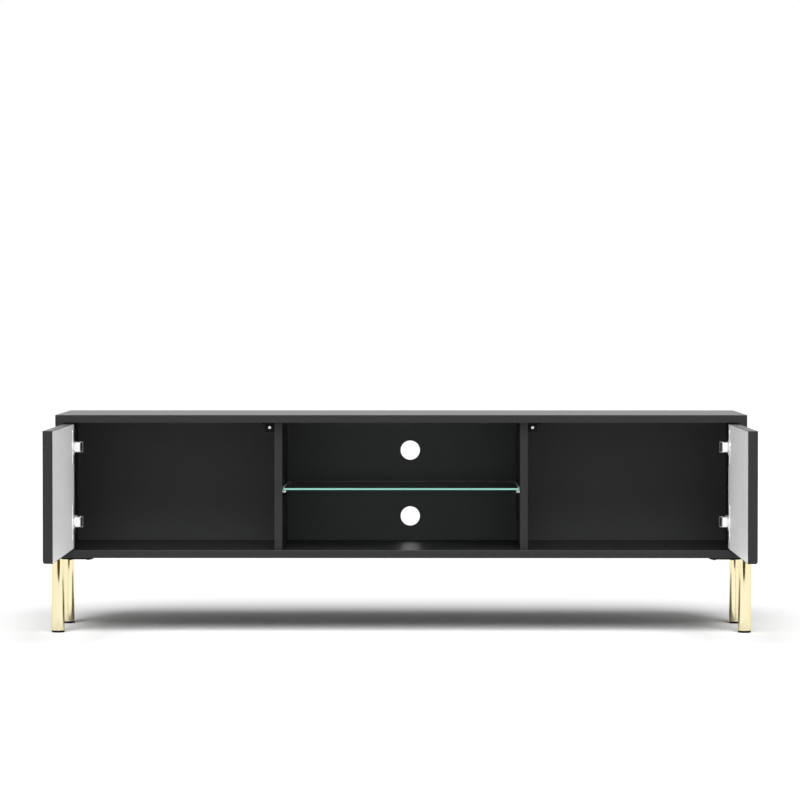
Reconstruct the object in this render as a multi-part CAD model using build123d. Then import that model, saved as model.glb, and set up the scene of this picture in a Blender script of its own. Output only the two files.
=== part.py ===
from build123d import *
import os

# Media cabinet on four round legs, with two inset doors and an open middle bay that has a glass shelf.
# Millimetres, +Z up, front towards -Y. The doors are modelled open, as they stand at rest.

# Carcass boards
BODY_W = 1400.0
BODY_D = 332.0
BODY_H = 290.0
BOARD = 16.0
FLOOR_GAP = 155.0
ARRIS = 0.8
MIDDLE_BAY_W = 482.8

# Room around pieces that fit into bores, and how far a cut passes the face it opens
SNUG = 0.05
OVERCUT = 1.0

# Thin back board, held in grooves and screwed to the dividers
BACK_T = 3.0
BACK_INSET = 7.0
GROOVE_DEPTH = 6.0
GROOVE_PLAY = 0.1
BACK_END_PLAY = 0.5
CABLE_HOLE_R = 20.3
CABLE_HOLE_X = 18.0
LOWER_HOLE_UP = 51.0
UPPER_HOLE_DOWN = 68.0
BACK_SCREW_IN = 28.0

# Cam fittings and dowels that hold the boards together
CAM_R = 7.4
CAM_DEPTH = 12.3
CAM_SET = 24.0
CAM_FRONT_IN = 70.0
CAM_REAR_IN = 74.0
CAM_SLOT_W = 1.2
CAM_SLOT_HALF = 5.9
CAM_SLOT_DEPTH = 0.8
BOLT_R = 3.4
BOLT_BITE = 11.0
DOWEL_R = 4.0
DOWEL_IN = 18.0
DOWEL_OUT = 11.0
DOWEL_FRONT_IN = 120.0
DOWEL_REAR_IN = 124.0

# Glass shelf and its four supports
GLASS_T = 5.0
GLASS_UP = 120.0
GLASS_FRONT = 25.0
GLASS_BACK_GAP = 17.0
GLASS_END_PLAY = 1.0
GLASS_CORNER_R = 3.0
GLASS_BEVEL = 0.6
PAD_T = 1.0
PAD_W = 8.0
PIN_R = 2.5
PIN_IN = 9.0
PIN_OUT = 7.0
PIN_FLAT = 0.8
PIN_FRONT_IN = 15.0
PIN_REAR_IN = 20.0

# Legs, centred under the ends of the bottom board
LEG_R = 13.0
LEG_WALL = 1.5
LEG_FRONT_IN = 50.0
LEG_REAR_IN = 64.0
PLATE_T = 4.0
PLATE_REACH = 74.0
PLATE_HALF = 34.0
PLATE_LOBE = 3.0
PLATE_PAD_IN = 10.0
PLATE_CORNER_R = 8.0
PLATE_BEVEL = 1.5
PLATE_SCREW_INS = (10.0, 46.0)
PLATE_SCREW_OFF = 24.0
SPIGOT_L = 22.0
FOOT_T = 4.5
FOOT_PLUG = 12.0
FOOT_EDGE_R = 2.5

# Doors
DOOR_T = 19.0
LINING_T = 0.8
DOOR_GAP_Z = 2.0
DOOR_SIDE_GAP = 3.2
DOOR_FREE_GAP = 1.0
DOOR_PRESS_GAP = 3.0
DOOR_HINGE_ROUND = 6.0
DOOR_FOOT_ROUND = 5.0
DOOR_EDGE_ROUND = 0.4
DOOR_BAND = 1.0

# Cup hinges, two on each door: the cup is set into the door and turns on a pin in the arm's eye
HINGE_UP = 56.3
HINGE_DOWN = 49.7
KNUCKLE_S = 8.5
KNUCKLE_T = 10.5
CUP_R = 17.5
CUP_EDGE = 3.0
CUP_WALL = 1.2
CUP_FLOOR = 0.8
CUP_FLOOR_T = 6.3
FLANGE_T = 1.2
FLANGE_LIP = 2.0
FLANGE_HALF = 36.0
FLANGE_W = 20.0
FLANGE_SHIFT = 7.5
FLANGE_CORNER_R = 5.0
CUP_SCREW_Z = 27.0
CUP_HEAD_T = 0.7
HINGE_PIN_R = 1.5
PIN_SEAT = 0.02
RUN_FIT = 0.06
EYE_R = 2.8
EYE_HALF = 6.0
EYE_SIDE_PLAY = 0.4
LUG_R = 3.2
LUG_T = 2.6
ARM_HALF = 9.5
ARM_WALL = 1.2
ARM_LOW = 3.0
ARM_HIGH = 20.0
ARM_START = 26.0
ARM_BRIDGE = 14.0
ARM_SLOPE = 12.0
ARM_END = 94.0
ARM_BEND_R = 0.8
ARM_END_R = 6.0
NOSE_T = 4.6
NOSE_NARROW = 11.0
NOSE_REACH = 21.1
NECK_T = 7.4
HOOD_START = 22.0
HOOD_HIGH = 4.9
HOOD_HALF = 11.0
HOOD_WALL = 0.8
BASE_HIGH = 8.0
BASE_PLAY = 0.4
BASE_END = 90.0
WING_T = 2.5
WING_Y0 = 30.0
WING_Y1 = 46.0
WING_HALF = 26.0
WING_CORNER_R = 4.0
WING_SCREW_Z = 18.0
SET_SCREW_YS = (60.0, 80.0)
SET_SCREW_R = 2.5
SET_HEAD_R = 4.0
SET_HEAD_T = 2.0
SET_SCREW_CLEAR = 1.0

# Touch latches under the top board
LATCH_OFF_DIVIDER = 9.4
LATCH_DROP = 9.8
LATCH_HALF = 9.0
LATCH_H = 19.5
LATCH_FRONT = 7.0
LATCH_L = 54.0
LATCH_LIP = 2.0
LATCH_ROUND = 3.0
LATCH_TIP_R = 3.0
LATCH_TIP_ROUND = 1.0
LATCH_TIP_GAP = 0.4
LATCH_ROD_R = 4.0
LATCH_ROD_L = 17.0
LATCH_TRAVEL = 4.0
LATCH_SPRING_ROOM = 21.0
LATCH_PLAY = 0.1
EAR_W = 8.0
EAR_T = 2.5
EAR_L = 12.0
EAR_STARTS = (8.0, 36.0)

# Screws, with a crowned head and a cross recess
WOOD_SCREW_R = 2.0
WOOD_SCREW_L = 11.0
WOOD_HEAD_R = 3.8
WOOD_HEAD_T = 1.6
HEAD_CROWN = 0.7
TIP_ROOM = 0.3
SLOT_W = 0.9
SLOT_SHARE = 0.6

# Levels and faces that follow from the sizes above
FLOOR_Z = FLOOR_GAP + BOARD
TOP_Z = FLOOR_GAP + BODY_H
CEIL_Z = TOP_Z - BOARD
HALF_W = BODY_W / 2
SIDE_X = HALF_W - BOARD
DIV_IN = MIDDLE_BAY_W / 2
DIV_OUT = DIV_IN + BOARD
DIV_MID = DIV_IN + BOARD / 2
BACK_Y = BODY_D - BACK_INSET - BACK_T
DIV_FRONT = DOOR_T + DOOR_PRESS_GAP
DOOR_W = SIDE_X - DOOR_SIDE_GAP - DIV_IN - DOOR_FREE_GAP
DOOR_Z0 = FLOOR_Z + DOOR_GAP_Z
DOOR_Z1 = CEIL_Z - DOOR_GAP_Z
OPEN_GAP = DOOR_SIDE_GAP + KNUCKLE_S - KNUCKLE_T
OPEN_X = -SIDE_X + OPEN_GAP
OPEN_Y = KNUCKLE_S + KNUCKLE_T
FREE_Y = OPEN_Y - DOOR_W
INNER_X = OPEN_X + DOOR_T
AXIS_X = OPEN_X + KNUCKLE_T
AXIS_Y = KNUCKLE_T
HINGE_ZS = (FLOOR_Z + HINGE_UP, CEIL_Z - HINGE_DOWN)
FRONT_Y = -(FREE_Y + BODY_D) / 2


def block(x0, x1, y0, y1, z0, z1):
    return Pos((x0 + x1) / 2, (y0 + y1) / 2, (z0 + z1) / 2) * Box(x1 - x0, y1 - y0, z1 - z0)


def rod_x(r, x0, x1, y, z):
    return Pos((x0 + x1) / 2, y, z) * Rot(0, 90, 0) * Cylinder(r, x1 - x0)


def rod_y(r, x, y0, y1, z):
    return Pos(x, (y0 + y1) / 2, z) * Rot(90, 0, 0) * Cylinder(r, y1 - y0)


def rod_z(r, x, y, z0, z1):
    return Pos(x, y, (z0 + z1) / 2) * Cylinder(r, z1 - z0)


def turned(points):
    """A solid turned about Z from points given as radius and height."""
    return revolve(make_face(Plane.XZ * Polyline(*points, close=True)), Axis.Z)


def set_at(solid, at, way):
    """A solid made on +Z, moved to a place and turned to a direction."""
    return Plane(origin=at, z_dir=way).location * solid


def mirrored(shape):
    return mirror(shape, about=Plane.YZ)


def screw(at, way, head_r=WOOD_HEAD_R, head_t=WOOD_HEAD_T, shank_r=WOOD_SCREW_R, length=WOOD_SCREW_L):
    """A screw whose head sits on the face at a place and whose shank goes the given way."""
    head_points = [(0, -head_t), (HEAD_CROWN * head_r, -head_t), (head_r, -head_t / 2), (head_r, 0)]
    shank_points = [(shank_r, 0), (shank_r, length - shank_r), (0, length)]
    body = turned(head_points + shank_points)
    slot = Box(2 * SLOT_SHARE * head_r, SLOT_W, head_t)
    recess = Pos(0, 0, -head_t) * (slot + Rot(0, 0, 90) * slot)
    return set_at(body - recess, at, way)


def screw_hole(at, way, shank_r=WOOD_SCREW_R, length=WOOD_SCREW_L, back=0.0):
    """The bore for a screw, which can start before the face by an overcut."""
    deep = length + back + TIP_ROOM
    return set_at(Pos(0, 0, deep / 2 - back) * Cylinder(shank_r + SNUG, deep), at, way)


def save(shape, name):
    export_step(Pos(0, FRONT_Y, 0) * shape, "parts/" + name + ".step")


def save_group(solids, name):
    moved = [Pos(0, FRONT_Y, 0) * solid for solid in solids]
    export_step(Compound(children=moved), "parts/" + name + ".step")


def save_pair(shape, name):
    """A left piece and its mirror image on the right."""
    save(shape, "left_" + name)
    save(mirrored(shape), "right_" + name)


os.makedirs("parts", exist_ok=True)

# Cam fittings: each upright takes bolts and dowels at its top and bottom ends
cams = []
cam_bolts = []
dowels = []
level_cuts = []
side_cuts = []
divider_cuts = []
for mid_x, cam_way, cuts in ((-SIDE_X - BOARD / 2, 1, side_cuts), (-DIV_MID, -1, divider_cuts)):
    face_x = mid_x + cam_way * BOARD / 2
    cam_x0, cam_x1 = sorted((face_x, face_x - cam_way * CAM_DEPTH))
    for end_z, inward in ((CEIL_Z, -1), (FLOOR_Z, 1)):
        cam_z = end_z + inward * CAM_SET
        bolt_z0, bolt_z1 = sorted((cam_z, end_z - inward * BOLT_BITE))
        dowel_z0, dowel_z1 = sorted((end_z + inward * DOWEL_IN, end_z - inward * DOWEL_OUT))
        for y in (CAM_FRONT_IN, BODY_D - CAM_REAR_IN):
            bolt_room = rod_z(BOLT_R + SNUG, mid_x, y, bolt_z0 - SNUG, bolt_z1 + SNUG)
            slot = Box(2 * CAM_SLOT_DEPTH, 2 * CAM_SLOT_HALF, CAM_SLOT_W)
            cam = rod_x(CAM_R, cam_x0, cam_x1, y, cam_z) - bolt_room - Pos(face_x, y, cam_z) * slot
            cams.append(cam)
            cam_bolts.append(rod_z(BOLT_R, mid_x, y, bolt_z0, bolt_z1))
            cuts.append(rod_x(CAM_R + SNUG, cam_x0 - SNUG, cam_x1 + SNUG, y, cam_z))
            cuts.append(bolt_room)
            level_cuts.append(bolt_room)
        for y in (DOWEL_FRONT_IN, BODY_D - DOWEL_REAR_IN):
            dowel_room = rod_z(DOWEL_R + SNUG, mid_x, y, dowel_z0 - SNUG, dowel_z1 + SNUG)
            dowels.append(rod_z(DOWEL_R, mid_x, y, dowel_z0, dowel_z1))
            cuts.append(dowel_room)
            level_cuts.append(dowel_room)
level_cuts = level_cuts + [mirrored(cut) for cut in level_cuts]
save_group(cams + [mirrored(cam) for cam in cams], "cam_locks")
save_group(cam_bolts + [mirrored(bolt) for bolt in cam_bolts], "cam_bolts")
save_group(dowels + [mirrored(dowel) for dowel in dowels], "dowels")

# Legs: a plate under the bottom board carries a spigot, the tube hangs on it and a foot closes the tube
PLATE_Z = FLOOR_GAP - PLATE_T
BORE_R = LEG_R - LEG_WALL
LOBE_R = LEG_R + PLATE_LOBE
PAD_X0 = -HALF_W + PLATE_PAD_IN
PAD_X1 = -HALF_W + PLATE_REACH
leg_screws = []
leg_screw_holes = []
for row, leg_y in (("front", LEG_FRONT_IN), ("rear", BODY_D - LEG_REAR_IN)):
    outline = Circle(LOBE_R) + Pos(PLATE_REACH / 4, 0) * Rectangle(PLATE_REACH / 2, 2 * LOBE_R)
    pad = RectangleRounded(PAD_X1 - PAD_X0, 2 * PLATE_HALF, PLATE_CORNER_R)
    outline = outline + Pos((PAD_X0 + PAD_X1) / 2 + HALF_W, 0) * pad
    plate = extrude(Pos(-HALF_W, leg_y, PLATE_Z) * outline, PLATE_T)
    inner_edges = plate.edges().filter_by(Axis.Y).group_by(Axis.X)[-1]
    plate = chamfer(inner_edges.sort_by(Axis.Z)[0], PLATE_BEVEL)
    plate = plate + rod_z(BORE_R - SNUG, -HALF_W, leg_y, PLATE_Z - SPIGOT_L, PLATE_Z)
    tube = extrude(Pos(-HALF_W, leg_y, FOOT_T) * (Circle(LEG_R) - Circle(BORE_R)), PLATE_Z - FOOT_T)
    plug_r = BORE_R - SNUG
    plug_z = FOOT_T + FOOT_PLUG
    sole_points = [(0, 0), (LEG_R, 0), (LEG_R, FOOT_T)]
    plug_points = [(plug_r, FOOT_T), (plug_r, plug_z), (0, plug_z)]
    foot = turned(sole_points + plug_points)
    foot = Pos(-HALF_W, leg_y, 0) * fillet(foot.edges().group_by(Axis.Z)[0], FOOT_EDGE_R)
    for inset in PLATE_SCREW_INS:
        for off in (-PLATE_SCREW_OFF, PLATE_SCREW_OFF):
            at = (PAD_X1 - inset, leg_y + off, PLATE_Z)
            plate = plate - screw_hole(at, (0, 0, 1), back=OVERCUT)
            leg_screws.append(screw(at, (0, 0, 1)))
            leg_screw_holes.append(screw_hole(at, (0, 0, 1)))
    for kind, piece in (("leg", tube), ("leg_plate", plate), ("foot", foot)):
        save(piece, row + "_left_" + kind)
        save(mirrored(piece), row + "_right_" + kind)
leg_screw_holes = leg_screw_holes + [mirrored(hole) for hole in leg_screw_holes]
save_group(leg_screws + [mirrored(one) for one in leg_screws], "leg_screws")

# Touch latches: housing under the top board, plunger held by the housing's lip
LATCH_X = -DIV_OUT - LATCH_OFF_DIVIDER
LATCH_Z = CEIL_Z - LATCH_DROP
LATCH_Y = DOOR_T + LATCH_FRONT
LIP_Y = LATCH_Y + LATCH_LIP
SHOULDER_Y = LIP_Y + LATCH_PLAY
BORE_END_Y = LIP_Y + LATCH_ROD_L + LATCH_TRAVEL + LATCH_SPRING_ROOM
latch_screws = []
latch_screw_holes = []
latch_x0 = LATCH_X - LATCH_HALF
housing = block(latch_x0, LATCH_X + LATCH_HALF, LATCH_Y, LATCH_Y + LATCH_L, CEIL_Z - LATCH_H, CEIL_Z)
housing = fillet(housing.edges().filter_by(Axis.Y).group_by(Axis.Z)[0], LATCH_ROUND)
for start in EAR_STARTS:
    ear_y = LATCH_Y + start
    housing = housing + block(latch_x0 - EAR_W, LATCH_X, ear_y, ear_y + EAR_L, CEIL_Z - EAR_T, CEIL_Z)
    at = (latch_x0 - EAR_W / 2, ear_y + EAR_L / 2, CEIL_Z - EAR_T)
    housing = housing - screw_hole(at, (0, 0, 1), back=OVERCUT)
    latch_screws.append(screw(at, (0, 0, 1)))
    latch_screw_holes.append(screw_hole(at, (0, 0, 1)))
housing = housing - rod_y(LATCH_TIP_R + LATCH_PLAY, LATCH_X, LATCH_Y - OVERCUT, LIP_Y + OVERCUT, LATCH_Z)
housing = housing - rod_y(LATCH_ROD_R + LATCH_PLAY, LATCH_X, LIP_Y, BORE_END_Y, LATCH_Z)
tip = rod_y(LATCH_TIP_R, LATCH_X, DOOR_T + LATCH_TIP_GAP, SHOULDER_Y + OVERCUT, LATCH_Z)
tip = fillet(tip.edges().group_by(Axis.Y)[0], LATCH_TIP_ROUND)
plunger = tip + rod_y(LATCH_ROD_R, LATCH_X, SHOULDER_Y, SHOULDER_Y + LATCH_ROD_L, LATCH_Z)
latch_screw_holes = latch_screw_holes + [mirrored(hole) for hole in latch_screw_holes]
save_pair(housing, "latch_housing")
save_pair(plunger, "latch_plunger")
save_group(latch_screws + [mirrored(one) for one in latch_screws], "latch_screws")

# Hinges, built for the left side with the door open
CUP_Y = OPEN_Y - CUP_EDGE - CUP_R
FLANGE_Y = CUP_Y - FLANGE_SHIFT
LUG_IN = EYE_HALF + EYE_SIDE_PLAY
LUG_OUT = LUG_IN + LUG_T
ARM_X0 = -SIDE_X + ARM_LOW
ARM_X1 = -SIDE_X + ARM_HIGH
NOSE_X1 = AXIS_X + NOSE_REACH
NOSE_Y0 = AXIS_Y - NOSE_T / 2
NOSE_Y1 = AXIS_Y + NOSE_T / 2
NECK_X0 = NOSE_X1 - NECK_T
BRIDGE_Y1 = ARM_START + ARM_BRIDGE
SET_SCREW_L = ARM_HIGH - SET_SCREW_CLEAR
INTO_DOOR = (-1, 0, 0)
cup_screws = []
hinge_pins = []
base_screws = []
set_screws = []
door_cuts = []
side_screw_holes = []
for level, z in zip(("lower", "upper"), HINGE_ZS):
    # Cup: a turned bowl with a rim, a flange with rounded corners and two lugs that hold the pin
    bowl_points = [
        (0, CUP_FLOOR_T),
        (CUP_R, CUP_FLOOR_T),
        (CUP_R, DOOR_T),
        (CUP_R + FLANGE_LIP, DOOR_T),
        (CUP_R + FLANGE_LIP, DOOR_T + FLANGE_T),
        (CUP_R - CUP_WALL, DOOR_T + FLANGE_T),
        (CUP_R - CUP_WALL, CUP_FLOOR_T + CUP_FLOOR),
        (0, CUP_FLOOR_T + CUP_FLOOR),
    ]
    bowl = set_at(turned(bowl_points), (OPEN_X, CUP_Y, z), (1, 0, 0))
    y0 = FLANGE_Y - FLANGE_W / 2
    flange = block(INNER_X, INNER_X + FLANGE_T, y0, y0 + FLANGE_W, z - FLANGE_HALF, z + FLANGE_HALF)
    flange = fillet(flange.edges().filter_by(Axis.X), FLANGE_CORNER_R)
    mouth = rod_x(CUP_R - CUP_WALL, INNER_X - OVERCUT, INNER_X + FLANGE_T + OVERCUT, CUP_Y, z)
    cup = bowl + (flange - mouth)
    cup_round = rod_x(CUP_R, OPEN_X + CUP_FLOOR_T, INNER_X, CUP_Y, z)
    for z0, z1 in ((z - LUG_OUT, z - LUG_IN), (z + LUG_IN, z + LUG_OUT)):
        lug = rod_z(LUG_R, AXIS_X, AXIS_Y, z0, z1)
        lug = lug + block(OPEN_X + CUP_FLOOR_T, AXIS_X, AXIS_Y - LUG_R, AXIS_Y + LUG_R, z0, z1)
        cup = cup + (lug & cup_round)
    cup = cup - rod_z(HINGE_PIN_R + PIN_SEAT, AXIS_X, AXIS_Y, z - LUG_OUT - OVERCUT, z + LUG_OUT + OVERCUT)
    hinge_pins.append(rod_z(HINGE_PIN_R, AXIS_X, AXIS_Y, z - LUG_OUT, z + LUG_OUT))
    door_cuts.append(rod_x(CUP_R + SNUG, OPEN_X + CUP_FLOOR_T - SNUG, INNER_X + OVERCUT, CUP_Y, z))
    for off in (-CUP_SCREW_Z, CUP_SCREW_Z):
        at = (INNER_X + FLANGE_T, FLANGE_Y, z + off)
        cup = cup - screw_hole(at, INTO_DOOR, back=OVERCUT)
        cup_screws.append(screw(at, INTO_DOOR, head_t=CUP_HEAD_T))
        door_cuts.append(screw_hole(at, INTO_DOOR))
    # Arm: a cranked profile that runs from the eye out of the cup and back along the side board
    arm_points = [
        (AXIS_X, NOSE_Y0),
        (NOSE_X1, NOSE_Y0),
        (NOSE_X1, BRIDGE_Y1),
        (ARM_X1, BRIDGE_Y1 + ARM_SLOPE),
        (ARM_X1, ARM_END),
        (ARM_X0, ARM_END),
        (ARM_X0, ARM_START),
        (NECK_X0, ARM_START),
        (NECK_X0, NOSE_Y1),
        (AXIS_X, NOSE_Y1),
    ]
    profile = make_face(Polyline(*arm_points, close=True))
    bends = [v for v in profile.vertices() if v.X > AXIS_X and v.Y < ARM_END]
    profile = fillet(bends, ARM_BEND_R)
    arm = extrude(Pos(0, 0, z - ARM_HALF) * profile, 2 * ARM_HALF)
    for z0, z1 in ((z - ARM_HALF, z - EYE_HALF), (z + EYE_HALF, z + ARM_HALF)):
        arm = arm - block(AXIS_X, AXIS_X + NOSE_NARROW, NOSE_Y0, NOSE_Y1, z0, z1)
    arm = fillet(arm.edges().filter_by(Axis.X).group_by(Axis.Y)[-1], ARM_END_R)
    inside_z = ARM_HALF - ARM_WALL
    inside_y = ARM_START + ARM_WALL
    arm = arm - block(-SIDE_X, ARM_X1 - ARM_WALL, inside_y, ARM_END + OVERCUT, z - inside_z, z + inside_z)
    hood_x1 = NOSE_X1 + HOOD_HIGH
    hood = block(NOSE_X1 - HOOD_WALL, hood_x1, HOOD_START, BRIDGE_Y1, z - HOOD_HALF, z + HOOD_HALF)
    slot_x1 = hood_x1 - HOOD_WALL
    slot_z = ARM_HALF - HOOD_WALL
    hood_slot = block(NECK_X0, slot_x1, HOOD_START - OVERCUT, BRIDGE_Y1 + OVERCUT, z - slot_z, z + slot_z)
    arm = arm + (hood - hood_slot)
    arm = arm + rod_z(EYE_R, AXIS_X, AXIS_Y, z - EYE_HALF, z + EYE_HALF)
    arm = arm - rod_z(HINGE_PIN_R + RUN_FIT, AXIS_X, AXIS_Y, z - CUP_R, z + CUP_R)
    # Base plate with two screwed wings on the side board, held to the arm by two set screws
    base_z = inside_z - BASE_PLAY
    base = block(-SIDE_X, -SIDE_X + BASE_HIGH, BRIDGE_Y1, BASE_END, z - base_z, z + base_z)
    wing = block(-SIDE_X, -SIDE_X + WING_T, WING_Y0, WING_Y1, z - WING_HALF, z + WING_HALF)
    base = base + fillet(wing.edges().filter_by(Axis.X), WING_CORNER_R)
    for off in (-WING_SCREW_Z, WING_SCREW_Z):
        at = (-SIDE_X + WING_T, (WING_Y0 + WING_Y1) / 2, z + off)
        base = base - screw_hole(at, (-1, 0, 0), back=OVERCUT)
        base_screws.append(screw(at, (-1, 0, 0)))
        side_screw_holes.append(screw_hole(at, (-1, 0, 0)))
    for y in SET_SCREW_YS:
        at = (ARM_X1, y, z)
        arm = arm - screw_hole(at, (-1, 0, 0), SET_SCREW_R, SET_SCREW_L, back=OVERCUT)
        base = base - screw_hole(at, (-1, 0, 0), SET_SCREW_R, SET_SCREW_L)
        set_screws.append(screw(at, (-1, 0, 0), SET_HEAD_R, SET_HEAD_T, SET_SCREW_R, SET_SCREW_L))
    save_pair(cup, level + "_hinge_cup")
    save_pair(arm, level + "_hinge_arm")
    save_pair(base, level + "_hinge_base")
save_group(cup_screws, "left_cup_screws")
save_group([mirrored(one) for one in cup_screws], "right_cup_screws")
save_group(hinge_pins, "left_hinge_pins")
save_group([mirrored(pin) for pin in hinge_pins], "right_hinge_pins")
save_group(base_screws + [mirrored(one) for one in base_screws], "hinge_base_screws")
save_group(set_screws + [mirrored(one) for one in set_screws], "hinge_set_screws")

# Door board: rounded along its outer foot and along the hinge side so that it turns clear of the side board,
# with a white lining let into its inner face inside a black edge band
CORE_X = INNER_X - LINING_T
LINING_Y0 = FREE_Y + DOOR_BAND
LINING_Y1 = OPEN_Y - DOOR_BAND
LINING_Z0 = DOOR_Z0 + DOOR_BAND
LINING_Z1 = DOOR_Z1 - DOOR_BAND
slab = block(OPEN_X, INNER_X, FREE_Y, OPEN_Y, DOOR_Z0, DOOR_Z1)
outer_edges = slab.faces().sort_by(Axis.X)[0].edges()
foot_edge = outer_edges.filter_by(Axis.Y).sort_by(Axis.Z)[0]
head_edge = outer_edges.filter_by(Axis.Y).sort_by(Axis.Z)[-1]
free_edge = outer_edges.filter_by(Axis.Z).sort_by(Axis.Y)[0]
hinge_edge = outer_edges.filter_by(Axis.Z).sort_by(Axis.Y)[-1]
across = fillet(foot_edge, DOOR_FOOT_ROUND) & fillet(head_edge, DOOR_EDGE_ROUND)
upright = fillet(free_edge, DOOR_EDGE_ROUND) & fillet(hinge_edge, DOOR_HINGE_ROUND)
lining = block(CORE_X, INNER_X, LINING_Y0, LINING_Y1, LINING_Z0, LINING_Z1)
rebate = block(
    CORE_X, INNER_X + OVERCUT, LINING_Y0 - SNUG, LINING_Y1 + SNUG, LINING_Z0 - SNUG, LINING_Z1 + SNUG
)
save_pair((across & upright) - rebate - door_cuts, "door_panel")
save_pair(lining - door_cuts, "door_lining")

# Back board, its groove and its screws into the dividers
reach_x = SIDE_X + GROOVE_DEPTH
reach_z0 = FLOOR_Z - GROOVE_DEPTH
reach_z1 = CEIL_Z + GROOVE_DEPTH
back_x = reach_x - BACK_END_PLAY
back_y1 = BACK_Y + BACK_T
groove = block(-reach_x, reach_x, BACK_Y - GROOVE_PLAY, back_y1 + GROOVE_PLAY, reach_z0, reach_z1)
back = block(-back_x, back_x, BACK_Y, back_y1, reach_z0 + BACK_END_PLAY, reach_z1 - BACK_END_PLAY)
for hole_z in (FLOOR_Z + LOWER_HOLE_UP, CEIL_Z - UPPER_HOLE_DOWN):
    back = back - rod_y(CABLE_HOLE_R, CABLE_HOLE_X, BACK_Y - OVERCUT, back_y1 + OVERCUT, hole_z)
back_screws = []
back_screw_holes = []
for x in (-DIV_MID, DIV_MID):
    for z in (FLOOR_Z + BACK_SCREW_IN, CEIL_Z - BACK_SCREW_IN):
        at = (x, back_y1, z)
        back_screws.append(screw(at, (0, -1, 0)))
        back_screw_holes.append(screw_hole(at, (0, -1, 0)))
save(back - back_screw_holes, "back_panel")
save_group(back_screws, "back_screws")

# Glass shelf on pads and pins: each pin has a flat under its pad
glass_z = FLOOR_Z + GLASS_UP
glass_y1 = BACK_Y - GLASS_BACK_GAP
glass_x = DIV_IN - GLASS_END_PLAY
glass = block(-glass_x, glass_x, GLASS_FRONT, glass_y1, glass_z, glass_z + GLASS_T)
glass = fillet(glass.edges().filter_by(Axis.Z), GLASS_CORNER_R)
glass = chamfer(glass.faces().filter_by(Axis.Z).edges(), GLASS_BEVEL)
pad_z = glass_z - PAD_T
pin_z = pad_z - PIN_R + PIN_FLAT
pad_x1 = -DIV_IN + PIN_OUT
pins = []
pads = []
pin_holes = []
for y in (GLASS_FRONT + PIN_FRONT_IN, glass_y1 - PIN_REAR_IN):
    pin = rod_x(PIN_R, -DIV_IN - PIN_IN, pad_x1, y, pin_z)
    pins.append(pin - block(-DIV_IN, pad_x1 + OVERCUT, y - PIN_R, y + PIN_R, pad_z, pad_z + PIN_R))
    pads.append(block(-DIV_IN + SNUG, pad_x1, y - PAD_W / 2, y + PAD_W / 2, pad_z, glass_z))
    pin_holes.append(rod_x(PIN_R + SNUG, -DIV_IN - PIN_IN - SNUG, -DIV_IN, y, pin_z))
save(glass, "glass_shelf")
save_group(pins + [mirrored(pin) for pin in pins], "shelf_pins")
save_group(pads + [mirrored(pad) for pad in pads], "shelf_pads")

# Carcass boards with their bores
top = block(-HALF_W, HALF_W, 0.0, BODY_D, CEIL_Z, TOP_Z)
top = fillet(top.edges().filter_by(Axis.X).group_by(Axis.Y)[0], ARRIS)
save(top - groove - level_cuts - latch_screw_holes, "top_panel")
bottom = block(-HALF_W, HALF_W, 0.0, BODY_D, FLOOR_GAP, FLOOR_Z)
bottom = fillet(bottom.edges().filter_by(Axis.X).group_by(Axis.Y)[0], ARRIS)
save(bottom - groove - level_cuts - leg_screw_holes, "bottom_panel")
side = block(-HALF_W, -SIDE_X, 0.0, BODY_D, FLOOR_Z, CEIL_Z)
side = fillet(side.edges().filter_by(Axis.Z).group_by(Axis.Y)[0], ARRIS)
save_pair(side - groove - side_cuts - side_screw_holes, "side_panel")
divider = block(-DIV_OUT, -DIV_IN, DIV_FRONT, BACK_Y, FLOOR_Z, CEIL_Z)
divider = fillet(divider.edges().filter_by(Axis.Z).group_by(Axis.Y)[0], ARRIS)
save_pair(divider - divider_cuts - pin_holes - back_screw_holes, "divider")
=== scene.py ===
import math
from typing import NamedTuple

import bmesh
import bpy
from mathutils import Matrix, Vector


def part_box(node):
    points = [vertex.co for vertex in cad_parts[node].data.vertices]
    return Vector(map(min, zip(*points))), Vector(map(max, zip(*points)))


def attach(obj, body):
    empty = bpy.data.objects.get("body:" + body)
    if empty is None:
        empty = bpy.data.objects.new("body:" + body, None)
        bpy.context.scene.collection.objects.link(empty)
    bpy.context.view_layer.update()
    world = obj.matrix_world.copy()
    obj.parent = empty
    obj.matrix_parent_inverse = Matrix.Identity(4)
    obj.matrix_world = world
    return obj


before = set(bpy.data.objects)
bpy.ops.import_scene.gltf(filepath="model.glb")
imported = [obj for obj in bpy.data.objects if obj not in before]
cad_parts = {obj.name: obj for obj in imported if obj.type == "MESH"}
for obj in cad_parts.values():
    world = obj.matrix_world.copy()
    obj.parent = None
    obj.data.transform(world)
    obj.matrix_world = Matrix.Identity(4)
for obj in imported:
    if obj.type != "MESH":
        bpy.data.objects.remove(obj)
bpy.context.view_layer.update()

bl_info = {
    "name": "Media cabinet finish",
    "version": (1, 0, 0),
    "blender": (4, 5, 0),
    "location": "View3D > Sidebar > Cabinet",
    "description": "Finishes the boards, doors, shelf, legs and fittings of a media cabinet",
    "category": "Object",
}

IMAGE_WIDTH = 800
CABINET = "cabinet"
SIDES = ("left", "right")
HINGE_LEVELS = ("lower", "upper")
LEG_CORNERS = ("front_left", "front_right", "rear_left", "rear_right")
BOARD_NODES = (
    "top_panel",
    "bottom_panel",
    "left_side_panel",
    "right_side_panel",
    "left_divider",
    "right_divider",
)

# Stretch of the grain along X, Y and Z
EVEN = (1.0, 1.0, 1.0)
ALONG_TUBE = (1.0, 1.0, 0.05)
ALONG_ARM = (1.0, 0.2, 1.0)
ALONG_EDGE = (0.15, 0.15, 1.0)
ALONG_DOWEL = (1.0, 1.0, 0.06)

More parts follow.
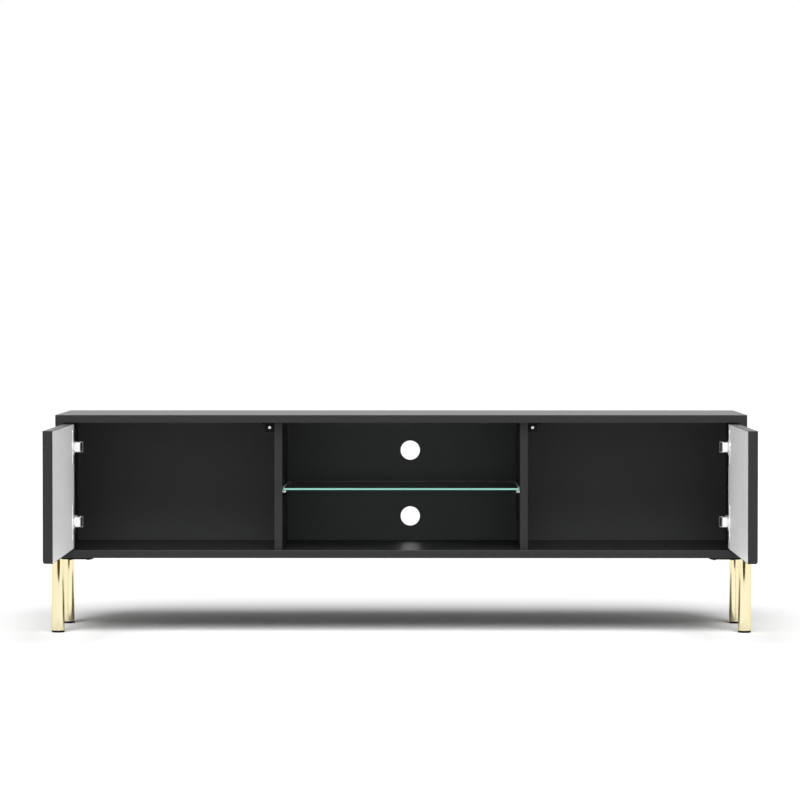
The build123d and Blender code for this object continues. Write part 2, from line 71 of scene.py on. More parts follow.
# Values of a grain mask between which the colour and the roughness move
COLOUR_SPAN = (0.3, 0.7)
GLOSS_SPAN = (0.25, 0.75)

# Width in metres over which the painted shade on a hinge arm's hood fades in
HOOD_SHADE_BLEND = 0.0002

# Mesh of the ground edge: rounding of its corners, and the least rise of a level face's normal
CORNER_SEGMENTS = 6
LEVEL_NORMAL = 0.9

# Studio: the dark floor's sides and lift, the camera's reach, and the Y and Z of a direction
# at which the even light is at its front and overhead level
SHADE_SIDES = 96
SHADE_LIFT = 0.002
CAMERA_REACH = 200.0
FRONT_AT = -0.5
OVERHEAD_AT = 0.45
WHITE = (1.0, 1.0, 1.0, 1.0)


class BoardFinish(bpy.types.PropertyGroup):
    """Black boards, white door linings and the dark back board."""

    black: bpy.props.FloatVectorProperty(
        name="Board black",
        description="Colour of the boards",
        subtype="COLOR",
        size=3,
        default=(0.009, 0.009, 0.0092),
    )
    black_light: bpy.props.FloatVectorProperty(
        name="Board fleck",
        description="Paler flecks in the boards",
        subtype="COLOR",
        size=3,
        default=(0.016, 0.016, 0.0163),
    )
    roughness: bpy.props.FloatProperty(
        name="Board roughness",
        description="Mean roughness of the boards",
        subtype="FACTOR",
        default=0.35,
        min=0.0,
        max=1.0,
    )
    sheen: bpy.props.FloatProperty(
        name="Sheen",
        description="Specular level of the boards",
        subtype="FACTOR",
        default=0.335,
        min=0.0,
        max=1.0,
    )
    grain: bpy.props.FloatProperty(
        name="Grain",
        description="Grain cells per metre",
        default=900.0,
        min=1.0,
    )
    lining: bpy.props.FloatVectorProperty(
        name="Lining white",
        description="Colour of the door linings",
        subtype="COLOR",
        size=3,
        default=(0.95, 0.95, 0.95),
    )
    lining_grain_share: bpy.props.FloatProperty(
        name="Lining grain",
        description="Share of the boards' grain cells that the linings have",
        subtype="FACTOR",
        default=0.7,
        min=0.0,
        max=1.0,
    )
    back: bpy.props.FloatVectorProperty(
        name="Back board",
        description="Colour of the thin back board",
        subtype="COLOR",
        size=3,
        default=(0.043, 0.0445, 0.0445),
    )
    back_shade: bpy.props.FloatProperty(
        name="Back board shade",
        description="Share by which the back board's colour moves with its grain",
        subtype="FACTOR",
        default=0.18,
        min=0.0,
        max=1.0,
    )
    back_rougher: bpy.props.FloatProperty(
        name="Back board rougher",
        description="Roughness that the back board has above the other boards",
        subtype="FACTOR",
        default=0.12,
        min=0.0,
        max=1.0,
    )


class ShelfFinish(bpy.types.PropertyGroup):
    """Glass shelf, its ground edge and its supports."""

    glass: bpy.props.FloatVectorProperty(
        name="Glass",
        description="Tint of the glass",
        subtype="COLOR",
        size=3,
        default=(0.7, 0.91, 0.89),
    )
    edge: bpy.props.FloatVectorProperty(
        name="Ground edge",
        description="Colour of the ground edge",
        subtype="COLOR",
        size=3,
        default=(0.188, 0.41, 0.353),
    )
    edge_proud: bpy.props.FloatProperty(
        name="Edge proud",
        description="How far the ground edge stands off the glass",
        subtype="DISTANCE",
        default=0.0002,
    )
    edge_wall: bpy.props.FloatProperty(
        name="Edge wall",
        description="Thickness of the ground edge",
        subtype="DISTANCE",
        default=0.0003,
    )
    edge_bevel: bpy.props.FloatProperty(
        name="Edge bevel",
        description="Height left clear above the ground edge",
        subtype="DISTANCE",
        default=0.0004,
    )
    edge_foot: bpy.props.FloatProperty(
        name="Edge foot",
        description="Height left clear below the ground edge",
        subtype="DISTANCE",
        default=0.0011,
    )
    corner: bpy.props.FloatProperty(
        name="Corner radius",
        description="Radius of the shelf's corners",
        subtype="DISTANCE",
        default=0.003,
    )
    arris: bpy.props.FloatProperty(
        name="Arris",
        description="Width of the polished arris at the shelf's ends and rear",
        subtype="DISTANCE",
        default=0.0024,
    )
    arris_wall: bpy.props.FloatProperty(
        name="Arris wall",
        description="Thickness of the polished arris",
        subtype="DISTANCE",
        default=0.00014,
    )
    # Painted highlight: a pale opaque strip stands in for the light caught by the glass's polished
    # arris
    arris_highlight_colour: bpy.props.FloatVectorProperty(
        name="Arris colour",
        description="Colour of the polished arris",
        subtype="COLOR",
        size=3,
        default=(0.62, 0.8, 0.78),
    )
    support: bpy.props.FloatVectorProperty(
        name="Support white",
        description="Colour of the shelf's pins and pads",
        subtype="COLOR",
        size=3,
        default=(0.94, 0.95, 0.94),
    )


class MetalFinish(bpy.types.PropertyGroup):
    """Legs, plates, hinges and screws."""

    gold: bpy.props.FloatVectorProperty(
        name="Gold",
        description="Colour of the leg tubes",
        subtype="COLOR",
        size=3,
        default=(0.87, 0.785, 0.515),
    )
    gold_roughness: bpy.props.FloatProperty(
        name="Gold roughness",
        description="Roughness of the leg tubes",
        subtype="FACTOR",
        default=0.045,
        min=0.0,
        max=1.0,
    )
    plate: bpy.props.FloatVectorProperty(
        name="Plate black",
        description="Colour of the leg plates",
        subtype="COLOR",
        size=3,
        default=(0.003, 0.003, 0.003),
    )
    plate_screw: bpy.props.FloatVectorProperty(
        name="Plate screws",
        description="Colour of the leg plates' screws",
        subtype="COLOR",
        size=3,
        default=(0.05, 0.05, 0.05),
    )
    nickel: bpy.props.FloatVectorProperty(
        name="Nickel",
        description="Colour of the hinges",
        subtype="COLOR",
        size=3,
        default=(0.97, 0.97, 0.96),
    )
    # Painted shade: length of the hinge arm's inner end that is darkened
    hood: bpy.props.FloatProperty(
        name="Hood",
        description="Length of the darker hood on a hinge arm",
        subtype="DISTANCE",
        default=0.0049,
    )
    # Painted shade: share of the nickel's colour left on the darkened hood
    hood_shade_tone: bpy.props.FloatVectorProperty(
        name="Hood tone",
        description="Share of the nickel's colour left on the hood",
        subtype="COLOR",
        size=3,
        default=(0.2, 0.2, 0.2),
    )
    steel: bpy.props.FloatVectorProperty(
        name="Steel",
        description="Colour of the screws",
        subtype="COLOR",
        size=3,
        default=(0.66, 0.66, 0.65),
    )
    zinc: bpy.props.FloatVectorProperty(
        name="Zinc",
        description="Colour of the cast cam locks",
        subtype="COLOR",
        size=3,
        default=(0.5, 0.5, 0.49),
    )


class FittingFinish(bpy.types.PropertyGroup):
    """Latches, feet and dowels."""

    black: bpy.props.FloatVectorProperty(
        name="Plastic black",
        description="Colour of the feet and the latch cases",
        subtype="COLOR",
        size=3,
        default=(0.004, 0.004, 0.004),
    )
    tip: bpy.props.FloatVectorProperty(
        name="Latch tip",
        description="Colour of the latch plungers",
        subtype="COLOR",
        size=3,
        default=(0.94, 0.94, 0.94),
    )
    beech: bpy.props.FloatVectorProperty(
        name="Beech",
        description="Darker streaks of the dowels",
        subtype="COLOR",
        size=3,
        default=(0.42, 0.27, 0.14),
    )
    beech_pale: bpy.props.FloatVectorProperty(
        name="Pale beech",
        description="Paler streaks of the dowels",
        subtype="COLOR",
        size=3,
        default=(0.6, 0.42, 0.25),
    )


class StudioSetup(bpy.types.PropertyGroup):
    """Camera, lamp and floor."""

    camera_place: bpy.props.FloatVectorProperty(
        name="Camera",
        description="Place of the camera",
        subtype="TRANSLATION",
        size=3,
        default=(0.0324, -7.3296, 0.6693),
    )
    camera_dip: bpy.props.FloatProperty(
        name="Dip",
        description="Angle the camera looks down",
        subtype="ANGLE",
        default=math.radians(1.5063),
    )
    camera_turn: bpy.props.FloatProperty(
        name="Turn",
        description="Angle the camera turns left",
        subtype="ANGLE",
        default=math.radians(0.2687),
    )
    focal_pixels: bpy.props.FloatProperty(
        name="Focal length",
        description="Focal length in pixels of the square frame",
        default=3646.9,
    )
    floor_size: bpy.props.FloatProperty(
        name="Floor size",
        description="Side of the square floor",
        subtype="DISTANCE",
        default=60.0,
    )
    floor_colour: bpy.props.FloatVectorProperty(
        name="Floor",
        description="Colour of the floor",
        subtype="COLOR",
        size=3,
        default=(0.97, 0.97, 0.97),
    )
    shade_colour: bpy.props.FloatVectorProperty(
        name="Front shade",
        description="Colour of the dark floor that the legs mirror",
        subtype="COLOR",
        size=3,
        default=(0.06, 0.04, 0.008),
    )
    shade_start: bpy.props.FloatProperty(
        name="Shade start",
        description="Distance in front at which the dark floor starts",
        subtype="DISTANCE",
        default=1.17,
    )
    shade_half: bpy.props.FloatProperty(
        name="Shade half width",
        description="Half of the dark floor's width",
        subtype="DISTANCE",
        default=1.1,
    )
    shade_reach: bpy.props.FloatProperty(
        name="Shade reach",
        description="Length of the dark floor",
        subtype="DISTANCE",
        default=2.4,
    )
    ambient: bpy.props.FloatProperty(
        name="Ambient",
        description="Level of the even light from behind",
        default=0.07,
        min=0.0,
    )
    front_ambient: bpy.props.FloatProperty(
        name="Front ambient",
        description="Level of the even light from the front",
        default=1.0,
        min=0.0,
    )
    horizon_share: bpy.props.FloatProperty(
        name="Horizon share",
        description="Share of the even light left at the horizon",
        default=0.25,
        min=0.0,
    )
    overhead_share: bpy.props.FloatProperty(
        name="Overhead share",
        description="Share of the even light higher up",
        default=1.22,
        min=0.0,
    )
    key_level: bpy.props.FloatProperty(
        name="Key level",
        description="Strength of the front lamp",
        default=3.1,
        min=0.0,
    )
    key_height: bpy.props.FloatProperty(
        name="Key height",
        description="Angle of the front lamp above the floor",
        subtype="ANGLE",
        default=math.radians(48),
    )
    key_spread: bpy.props.FloatProperty(
        name="Key spread",
        description="Apparent width of the front lamp",
        subtype="ANGLE",
        default=math.radians(42),
    )


class CabinetSettings(bpy.types.PropertyGroup):
    """All settings of the cabinet's finish."""

    boards: bpy.props.PointerProperty(type=BoardFinish)
    shelf: bpy.props.PointerProperty(type=ShelfFinish)
    metal: bpy.props.PointerProperty(type=MetalFinish)
    fittings: bpy.props.PointerProperty(type=FittingFinish)
    studio: bpy.props.PointerProperty(type=StudioSetup)


def settings():
    """The cabinet's settings in the open scene."""
    return bpy.context.scene.cabinet_settings


class Grain(NamedTuple):
    """How the grain of a finish is laid, and what it does to the surface.

    The fine speckle and the broad cloud are in cells per metre, and the bump's depth is in metres.
    The roughness moves by its spread about its mean.
    """

    fine: float
    broad: float
    roughness: float
    spread: float = 0.0
    depth: float = 0.0
    stretch: tuple = EVEN
    colour_mask: str = "Cloud"
    gloss_mask: str = "Speckle"


def grain_group():
    """Speckle and cloud masks, shared by every finish."""
    group = bpy.data.node_groups.get("surface_grain")
    if group:
        return group
    group = bpy.data.node_groups.new("surface_grain", "ShaderNodeTree")
    face = group.interface
    face.new_socket(name="Vector", in_out="INPUT", socket_type="NodeSocketVector")
    face.new_socket(name="Scale", in_out="INPUT", socket_type="NodeSocketFloat")
    face.new_socket(name="Cloud Scale", in_out="INPUT", socket_type="NodeSocketFloat")
    face.new_socket(name="Speckle", in_out="OUTPUT", socket_type="NodeSocketFloat")
    face.new_socket(name="Cloud", in_out="OUTPUT", socket_type="NodeSocketFloat")
    nodes, links = group.nodes, group.links
    given = nodes.new("NodeGroupInput")
    out = nodes.new("NodeGroupOutput")
    fine = nodes.new("ShaderNodeTexNoise")
    fine.inputs["Detail"].default_value = 3.0
    fine.inputs["Roughness"].default_value = 0.6
    broad = nodes.new("ShaderNodeTexNoise")
    broad.inputs["Detail"].default_value = 4.0
    links.new(given.outputs["Vector"], fine.inputs["Vector"])
    links.new(given.outputs["Scale"], fine.inputs["Scale"])
    links.new(given.outputs["Vector"], broad.inputs["Vector"])
    links.new(given.outputs["Cloud Scale"], broad.inputs["Scale"])
    links.new(fine.outputs["Fac"], out.inputs["Speckle"])
    links.new(broad.outputs["Fac"], out.inputs["Cloud"])
    return group


def add_grain(tree, grain):
    """The grain group in a material, on Object coordinates."""
    place = tree.nodes.new("ShaderNodeTexCoord")
    mapping = tree.nodes.new("ShaderNodeMapping")
    mapping.inputs["Scale"].default_value = grain.stretch
    tree.links.new(place.outputs["Object"], mapping.inputs["Vector"])
    masks = tree.nodes.new("ShaderNodeGroup")
    masks.node_tree = grain_group()
    masks.inputs["Scale"].default_value = grain.fine
    masks.inputs["Cloud Scale"].default_value = grain.broad
    tree.links.new(mapping.outputs["Vector"], masks.inputs["Vector"])
    return masks.outputs


def blend_colour(tree, mask, low, high, shader):
    """Base colour that moves between two shades with a mask."""
    ramp = tree.nodes.new("ShaderNodeValToRGB")
    for stop, position, colour in zip(ramp.color_ramp.elements, COLOUR_SPAN, (low, high)):
        stop.position = position
        stop.color = (*colour, 1.0)
    tree.links.new(mask, ramp.inputs["Fac"])
    tree.links.new(ramp.outputs["Color"], shader.inputs["Base Color"])


def spread_roughness(tree, mask, mean, spread, shader):
    """Roughness that moves about its mean with a mask."""
    span = tree.nodes.new("ShaderNodeMapRange")
    span.inputs["From Min"].default_value = GLOSS_SPAN[0]
    span.inputs["From Max"].default_value = GLOSS_SPAN[1]
    span.inputs["To Min"].default_value = mean - spread
    span.inputs["To Max"].default_value = mean + spread
    tree.links.new(mask, span.inputs["Value"])
    tree.links.new(span.outputs["Result"], shader.inputs["Roughness"])


def add_bump(tree, mask, depth, shader):
    """Bump from a mask, with its depth in metres."""
    bump = tree.nodes.new("ShaderNodeBump")
    bump.inputs["Strength"].default_value = 1.0
    bump.inputs["Distance"].default_value = depth
    tree.links.new(mask, bump.inputs["Height"])
    tree.links.new(bump.outputs["Normal"], shader.inputs["Normal"])


def grained_material(name, low, high, grain):
    """A new material between two shades, and its Principled shader."""
    made = bpy.data.materials.new(name)
    made.use_nodes = True
    tree = made.node_tree
    shader = tree.nodes["Principled BSDF"]
    masks = add_grain(tree, grain)
    blend_colour(tree, masks[grain.colour_mask], low, high, shader)
    if grain.spread:
        spread_roughness(tree, masks[grain.gloss_mask], grain.roughness, grain.spread, shader)
    else:
        shader.inputs["Roughness"].default_value = grain.roughness
    if grain.depth:
        add_bump(tree, masks["Speckle"], grain.depth, shader)
    return made, shader


def shades(colour, spread):
    """A darker and a paler shade of one colour."""
    dark = tuple(part * (1.0 - spread) for part in colour)
    pale = tuple(min(1.0, part * (1.0 + spread)) for part in colour)
    return dark, pale


def board_material(name, low, high, roughness, own):
    grain = Grain(
        fine=own.grain,
        broad=14.0,
        roughness=roughness,
        spread=0.012,
        depth=0.00003,
        colour_mask="Speckle",
        gloss_mask="Cloud",
    )
    made, shader = grained_material(name, low, high, grain)
    shader.inputs["Specular IOR Level"].default_value = own.sheen
    return made


def lining_material(own):
    fine = own.lining_grain_share * own.grain
    grain = Grain(fine=fine, broad=9.0, roughness=0.42, spread=0.05, depth=0.00002)
    low, high = shades(own.lining, spread=0.025)
    return grained_material("white_lining", low, high, grain)[0]


def metal_material(name, colour, roughness, stretch=EVEN, fine=1400.0, spread=0.04):
    grain = Grain(
        fine=fine,
        broad=30.0,
        roughness=roughness,
        spread=spread,
        depth=0.000004,
        stretch=stretch,
    )
    low, high = shades(colour, spread=0.04)
    made, shader = grained_material(name, low, high, grain)
    shader.inputs["Metallic"].default_value = 1.0
    shader.inputs["Specular Tint"].default_value = (*colour, 1.0)
    return made


def moulded_material(name, colour, roughness, shine=0.5, fine=2200.0, depth=0.00002):
    grain = Grain(fine=fine, broad=40.0, roughness=roughness, spread=0.06, depth=depth)
    low, high = shades(colour, spread=0.08)
    made, shader = grained_material(name, low, high, grain)
    shader.inputs["Specular IOR Level"].default_value = shine
    return made


def beech_material(own):
    grain = Grain(
        fine=700.0,
        broad=60.0,
        roughness=0.65,
        spread=0.05,
        depth=0.00004,
        stretch=ALONG_DOWEL,
        colour_mask="Speckle",
        gloss_mask="Cloud",
    )
    return grained_material("beech_dowel", own.beech, own.beech_pale, grain)[0]


def glass_material(tint):
    grain = Grain(fine=60.0, broad=5.0, roughness=0.012, spread=0.01, gloss_mask="Cloud")
    low, high = shades(tint, spread=0.015)
    made, shader = grained_material("shelf_glass", low, high, grain)
    shader.inputs["Transmission Weight"].default_value = 1.0
    shader.inputs["IOR"].default_value = 1.5
    return made


def ground_edge_material(name, colour):
    grain = Grain(fine=900.0, broad=25.0, roughness=0.3, spread=0.06, stretch=ALONG_EDGE)
    low, high = shades(colour, spread=0.06)
    return grained_material(name, low, high, grain)[0]


def dull_material(name, colour, shade):
    grain = Grain(fine=40.0, broad=2.0, roughness=1.0)
    low, high = shades(colour, spread=shade)
    made, shader = grained_material(name, low, high, grain)
    shader.inputs["Specular IOR Level"].default_value = 0.0
    return made


def paint_hood_shade(made, start, tone):
    """Painted shade: darker metal on the hinge arms' hoods, from start towards the cabinet's middle.
    """
    nodes, links = made.node_tree.nodes, made.node_tree.links
    colour = nodes["Principled BSDF"].inputs["Base Color"]
    place = nodes.new("ShaderNodeTexCoord")
    split = nodes.new("ShaderNodeSeparateXYZ")
    links.new(place.outputs["Object"], split.inputs["Vector"])
    across = nodes.new("ShaderNodeMath")
    across.operation = "ABSOLUTE"
    links.new(split.outputs["X"], across.inputs[0])
    inside = nodes.new("ShaderNodeMapRange")
    inside.inputs["From Min"].default_value = start
    inside.inputs["From Max"].default_value = start - HOOD_SHADE_BLEND
    links.new(across.outputs["Value"], inside.inputs["Value"])
    darken = nodes.new("ShaderNodeMix")
    darken.data_type = "RGBA"
    darken.blend_type = "MULTIPLY"
    links.new(inside.outputs["Result"], darken.inputs["Factor"])
    links.new(colour.links[0].from_socket, darken.inputs["A"])
    darken.inputs["B"].default_value = (*tone, 1.0)
    links.new(darken.outputs["Result"], colour)


def box_of(node):
    """Lowest and highest corners of a node at rest, as vectors in metres."""
    low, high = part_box(node)
    return Vector(low), Vector(high)


def dress(names, material):
    """Puts one material on CAD nodes."""
    for name in names:
        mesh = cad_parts[name].data
        mesh.materials.clear()
        mesh.materials.append(material)


def make_object(bm, name, material):
    """Turns a bmesh into an object at the origin."""
    mesh = bpy.data.meshes.new(name)
    bm.to_mesh(mesh)
    bm.free()
    mesh.materials.append(material)
    made = bpy.data.objects.new(name, mesh)
    bpy.context.scene.collection.objects.link(made)
    return made


def make_piece(bm, name, material, body):
    """Turns a bmesh into a piece that rides on a body."""
    piece = make_object(bm, name, material)
    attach(piece, body)


class CABINET_OT_boards(bpy.types.Operator):
    """Finishes the carcass boards and the back board"""

    bl_idname = "cabinet.boards"
    bl_label = "Boards"

    def execute(self, context):
        own = settings().boards
        dress(
            BOARD_NODES,
            board_material("black_board", own.black, own.black_light, own.roughness, own),
        )
        low, high = shades(own.back, own.back_shade)
        rougher = own.roughness + own.back_rougher
        dress(["back_panel"], board_material("back_board", low, high, rougher, own))
        return {"FINISHED"}


class CABINET_OT_doors(bpy.types.Operator):
    """Finishes the door boards and their white linings"""

    bl_idname = "cabinet.doors"
    bl_label = "Doors"

    def execute(self, context):
        own = settings().boards
        lacquer = board_material("door_black", own.black, own.black_light, own.roughness, own)
        white = lining_material(own)
        for side in SIDES:
            dress([side + "_door_panel"], lacquer)
            dress([side + "_door_lining"], white)
        return {"FINISHED"}


class CABINET_OT_shelf(bpy.types.Operator):
    """Finishes the glass shelf and its supports, and gives it its ground edge and pale arris strips
    that paint a highlight
    """

    bl_idname = "cabinet.shelf"
    bl_label = "Glass shelf"

    def execute(self, context):
        own = settings().shelf
        dress(["glass_shelf"], glass_material(own.glass))
        for node, name in (("shelf_pads", "shelf_pad_soft"), ("shelf_pins", "shelf_pin_white")):
            dress([node], moulded_material(name, own.support, roughness=0.35))
        low, high = box_of("glass_shelf")
        self.add_ground_edge(own, low, high)
        self.add_arris_highlight(own, low, high)
        return {"FINISHED"}

    def add_ground_edge(self, own, low, high):
        """A thin band round the shelf's edge, rounded at its corners."""
        size = high - low
        proud = 2 * own.edge_proud
        height = size.z - own.edge_bevel - own.edge_foot
        middle = (low + high) / 2
        middle.z = low.z + own.edge_foot + height / 2
        bm = bmesh.new()
        bmesh.ops.create_cube(bm, size=1.0)
        bmesh.ops.scale(bm, vec=(size.x + proud, size.y + proud, height), verts=bm.verts)
        bmesh.ops.translate(bm, vec=middle, verts=bm.verts)
        level = [face for face in bm.faces if abs(face.normal.z) > LEVEL_NORMAL]
        bmesh.ops.delete(bm, geom=level, context="FACES_ONLY")
        uprights = [
            edge for edge in bm.edges if abs(edge.verts[0].co.z - edge.verts[1].co.z) > own.edge_bevel
        ]
        bmesh.ops.bevel(
            bm,
            geom=uprights,
            offset=own.corner,
            offset_type="OFFSET",
            segments=CORNER_SEGMENTS,
            profile=0.5,
            affect="EDGES",
            material=-1,
        )
        bmesh.ops.recalc_face_normals(bm, faces=bm.faces)
        bmesh.ops.solidify(bm, geom=bm.faces[:], thickness=own.edge_wall)
        ground = ground_edge_material("ground_glass_edge", own.edge)
        make_piece(bm, "shelf_ground_edge", ground, CABINET)

    def add_arris_highlight(self, own, low, high):
        """Flat pale strips along the shelf's two ends and its rear edge: a painted highlight of the
        polished arris.
        """
        bm = bmesh.new()
        middle = (low + high) / 2
        inset = own.arris / 2
        depth = high.y - low.y - 2 * own.corner
        width = high.x - low.x - 2 * own.corner
        strips = (
            ((low.x + inset, middle.y), (own.arris, depth)),
            ((high.x - inset, middle.y), (own.arris, depth)),
            ((middle.x, high.y - inset), (width, own.arris)),
        )
        for (x, y), (along_x, along_y) in strips:
            place = Matrix.Translation((x, y, high.z))
            size = Matrix.Diagonal((along_x, along_y, own.arris_wall, 1.0))
            bmesh.ops.create_cube(bm, size=1.0, matrix=place @ size)
        # The strips' pale colour is a painted highlight
        highlight_finish = ground_edge_material("painted_arris_highlight", own.arris_highlight_colour)
        make_piece(bm, "shelf_arris_highlight", highlight_finish, CABINET)


class CABINET_OT_legs(bpy.types.Operator):
    """Finishes the leg tubes, their plates and their feet"""

    bl_idname = "cabinet.legs"
    bl_label = "Legs"

    def execute(self, context):
        own = settings().metal
        gold = metal_material(
            "pale_gold_tube", own.gold, own.gold_roughness, ALONG_TUBE, fine=1600.0, spread=0.01
        )
        plate = moulded_material(
            "leg_plate_black", own.plate, roughness=0.5, shine=0.06, fine=3000.0, depth=0.00003
        )
        foot = moulded_material("foot_black", settings().fittings.black, roughness=0.6, shine=0.15)
        for corner in LEG_CORNERS:
            dress([corner + "_leg"], gold)
            dress([corner + "_leg_plate"], plate)
            dress([corner + "_foot"], foot)
        dress(["leg_screws"], metal_material("leg_screw_black", own.plate_screw, roughness=0.4))
        return {"FINISHED"}


class CABINET_OT_hinges(bpy.types.Operator):
    """Finishes the hinges, their pins and their screws"""

    bl_idname = "cabinet.hinges"
    bl_label = "Hinges"

    def execute(self, context):
        own = settings().metal
        nickel = metal_material("hinge_nickel", own.nickel, roughness=0.5, stretch=ALONG_ARM)
        arm = metal_material("hinge_arm_nickel_hood_shade", own.nickel, roughness=0.65, stretch=ALONG_ARM)
        # Painted shade on the inner end of each hinge arm, its hood
        inner_end = box_of("left_lower_hinge_arm")[1].x
        paint_hood_shade(arm, abs(inner_end) + own.hood, own.hood_shade_tone)
        steel = metal_material("screw_steel", own.steel, roughness=0.33)
        for side in SIDES:
            for level in HINGE_LEVELS:
                hinge = f"{side}_{level}_hinge"
                dress([hinge + "_cup", hinge + "_base"], nickel)
                dress([hinge + "_arm"], arm)
            dress([side + "_cup_screws", side + "_hinge_pins"], steel)
        dress(["hinge_base_screws", "hinge_set_screws"], steel)
        return {"FINISHED"}


class CABINET_OT_latches(bpy.types.Operator):
    """Finishes the touch latches under the top board"""

    bl_idname = "cabinet.latches"
    bl_label = "Touch latches"

    def execute(self, context):
        own = settings().fittings
        case = moulded_material("latch_case_black", own.black, roughness=0.6, shine=0.12)
        tip = moulded_material("latch_tip_white", own.tip, roughness=0.38)
        screw = moulded_material("latch_screw_black", own.black, roughness=0.6, shine=0.12)
        for side in SIDES:
            dress([side + "_latch_housing"], case)
            dress([side + "_latch_plunger"], tip)
        dress(["latch_screws"], screw)
        return {"FINISHED"}


class CABINET_OT_fittings(bpy.types.Operator):
    """Finishes the cam fittings, dowels and back board screws"""

    bl_idname = "cabinet.fittings"
    bl_label = "Board fittings"

    def execute(self, context):
        own = settings().metal
        dress(["cam_locks"], metal_material("cam_zinc", own.zinc, roughness=0.45))
        dress(["cam_bolts", "back_screws"], metal_material("bolt_steel", own.steel, roughness=0.35))
        dress(["dowels"], beech_material(settings().fittings))
        return {"FINISHED"}


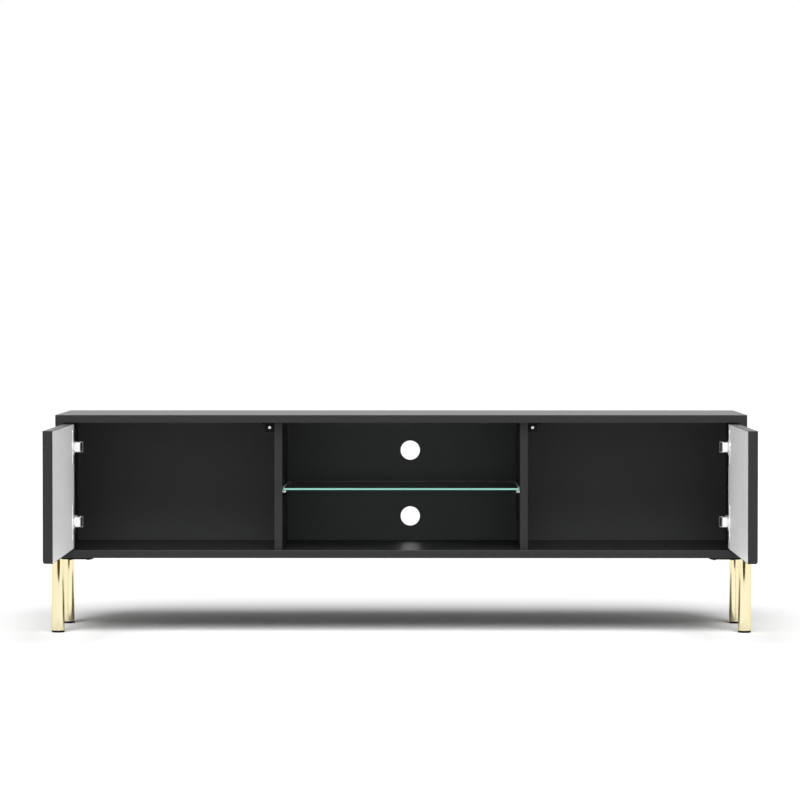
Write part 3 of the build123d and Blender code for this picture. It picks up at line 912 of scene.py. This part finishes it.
class CABINET_OT_studio(bpy.types.Operator):
    """Sets the floor, the white surround, the lamp and the camera"""

    bl_idname = "cabinet.studio"
    bl_label = "Studio"

    def execute(self, context):
        own = settings().studio
        scene = context.scene
        scene.view_settings.view_transform = "Standard"
        self.lay_floor(own)
        self.lay_front_shade(own)
        self.light_surround(own, scene)
        self.hang_lamp(own, scene)
        self.set_camera(own, scene)
        return {"FINISHED"}

    def lay_floor(self, own):
        bm = bmesh.new()
        bmesh.ops.create_grid(bm, x_segments=1, y_segments=1, size=own.floor_size / 2)
        pale = dull_material("studio_floor", own.floor_colour, shade=0.004)
        floor = make_object(bm, "studio_floor", pale)

    def lay_front_shade(self, own):
        """A dark oval of floor in front that only mirror-like surfaces see."""
        half_reach = own.shade_reach / 2
        place = (0.0, -own.shade_start - half_reach, SHADE_LIFT)
        bm = bmesh.new()
        bmesh.ops.create_circle(bm, cap_ends=True, radius=1.0, segments=SHADE_SIDES)
        bmesh.ops.scale(bm, vec=(own.shade_half, half_reach, 1.0), verts=bm.verts)
        bmesh.ops.translate(bm, vec=place, verts=bm.verts)
        dark = dull_material("front_shade", own.shade_colour, shade=0.05)
        shade = make_object(bm, "front_shade", dark)
        shade.visible_camera = False
        shade.visible_diffuse = False
        shade.visible_transmission = False
        shade.visible_shadow = False

    def light_surround(self, own, scene):
        """A surround that looks white, and lights evenly from the front and above."""
        world = bpy.data.worlds.new("studio_surround")
        scene.world = world
        world.use_nodes = True
        nodes, links = world.node_tree.nodes, world.node_tree.links
        nodes.clear()

        def combine(operation, first, second):
            joined = nodes.new("ShaderNodeMath")
            joined.operation = operation
            links.new(first, joined.inputs[0])
            links.new(second, joined.inputs[1])
            return joined.outputs["Value"]

        def ease(part, full_at, start_level, full_level):
            eased = nodes.new("ShaderNodeMapRange")
            eased.interpolation_type = "SMOOTHSTEP"
            eased.inputs["From Min"].default_value = 0.0
            eased.inputs["From Max"].default_value = full_at
            eased.inputs["To Min"].default_value = start_level
            eased.inputs["To Max"].default_value = full_level
            links.new(part, eased.inputs["Value"])
            return eased.outputs["Result"]

        def white_background():
            background = nodes.new("ShaderNodeBackground")
            background.inputs["Color"].default_value = WHITE
            return background

        place = nodes.new("ShaderNodeTexCoord")
        parts = nodes.new("ShaderNodeSeparateXYZ")
        links.new(place.outputs["Generated"], parts.inputs["Vector"])
        front = ease(parts.outputs["Y"], FRONT_AT, own.ambient, own.front_ambient)
        above = ease(parts.outputs["Z"], OVERHEAD_AT, own.horizon_share, own.overhead_share)
        lit = white_background()
        links.new(combine("MULTIPLY", front, above), lit.inputs["Strength"])
        seen = white_background()
        path = nodes.new("ShaderNodeLightPath")
        in_view = combine("MAXIMUM", path.outputs["Is Camera Ray"], path.outputs["Is Glossy Ray"])
        in_view = combine("MAXIMUM", in_view, path.outputs["Is Transmission Ray"])
        mix = nodes.new("ShaderNodeMixShader")
        links.new(in_view, mix.inputs["Fac"])
        links.new(lit.outputs["Background"], mix.inputs[1])
        links.new(seen.outputs["Background"], mix.inputs[2])
        out = nodes.new("ShaderNodeOutputWorld")
        links.new(mix.outputs["Shader"], out.inputs["Surface"])

    def hang_lamp(self, own, scene):
        lamp = bpy.data.lights.new("front_lamp", "SUN")
        lamp.energy = own.key_level
        lamp.angle = own.key_spread
        key = bpy.data.objects.new("front_lamp", lamp)
        key.rotation_euler = (math.pi / 2 - own.key_height, 0.0, 0.0)
        scene.collection.objects.link(key)

    def set_camera(self, own, scene):
        lens = bpy.data.cameras.new("photo_camera")
        lens.sensor_fit = "HORIZONTAL"
        lens.lens = own.focal_pixels / IMAGE_WIDTH * lens.sensor_width
        lens.clip_end = CAMERA_REACH
        camera = bpy.data.objects.new("photo_camera", lens)
        camera.location = own.camera_place
        camera.rotation_euler = (math.pi / 2 - own.camera_dip, 0.0, own.camera_turn)
        scene.collection.objects.link(camera)
        scene.camera = camera


OPERATORS = (
    CABINET_OT_boards,
    CABINET_OT_doors,
    CABINET_OT_shelf,
    CABINET_OT_legs,
    CABINET_OT_hinges,
    CABINET_OT_latches,
    CABINET_OT_fittings,
    CABINET_OT_studio,
)


class CABINET_PT_finish(bpy.types.Panel):
    """Lists the steps that finish the cabinet"""

    bl_idname = "CABINET_PT_finish"
    bl_label = "Media cabinet"
    bl_space_type = "VIEW_3D"
    bl_region_type = "UI"
    bl_category = "Cabinet"

    def draw(self, context):
        for step in OPERATORS:
            self.layout.operator(step.bl_idname)


CLASSES = (
    BoardFinish,
    ShelfFinish,
    MetalFinish,
    FittingFinish,
    StudioSetup,
    CabinetSettings,
    *OPERATORS,
    CABINET_PT_finish,
)


def register():
    for each in CLASSES:
        bpy.utils.register_class(each)
    bpy.types.Scene.cabinet_settings = bpy.props.PointerProperty(type=CabinetSettings)


def unregister():
    del bpy.types.Scene.cabinet_settings
    for each in reversed(CLASSES):
        bpy.utils.unregister_class(each)


def main():
    register()
    bpy.ops.cabinet.boards()
    bpy.ops.cabinet.doors()
    bpy.ops.cabinet.shelf()
    bpy.ops.cabinet.legs()
    bpy.ops.cabinet.hinges()
    bpy.ops.cabinet.latches()
    bpy.ops.cabinet.fittings()
    bpy.ops.cabinet.studio()


if __name__ == "__main__":
    main()
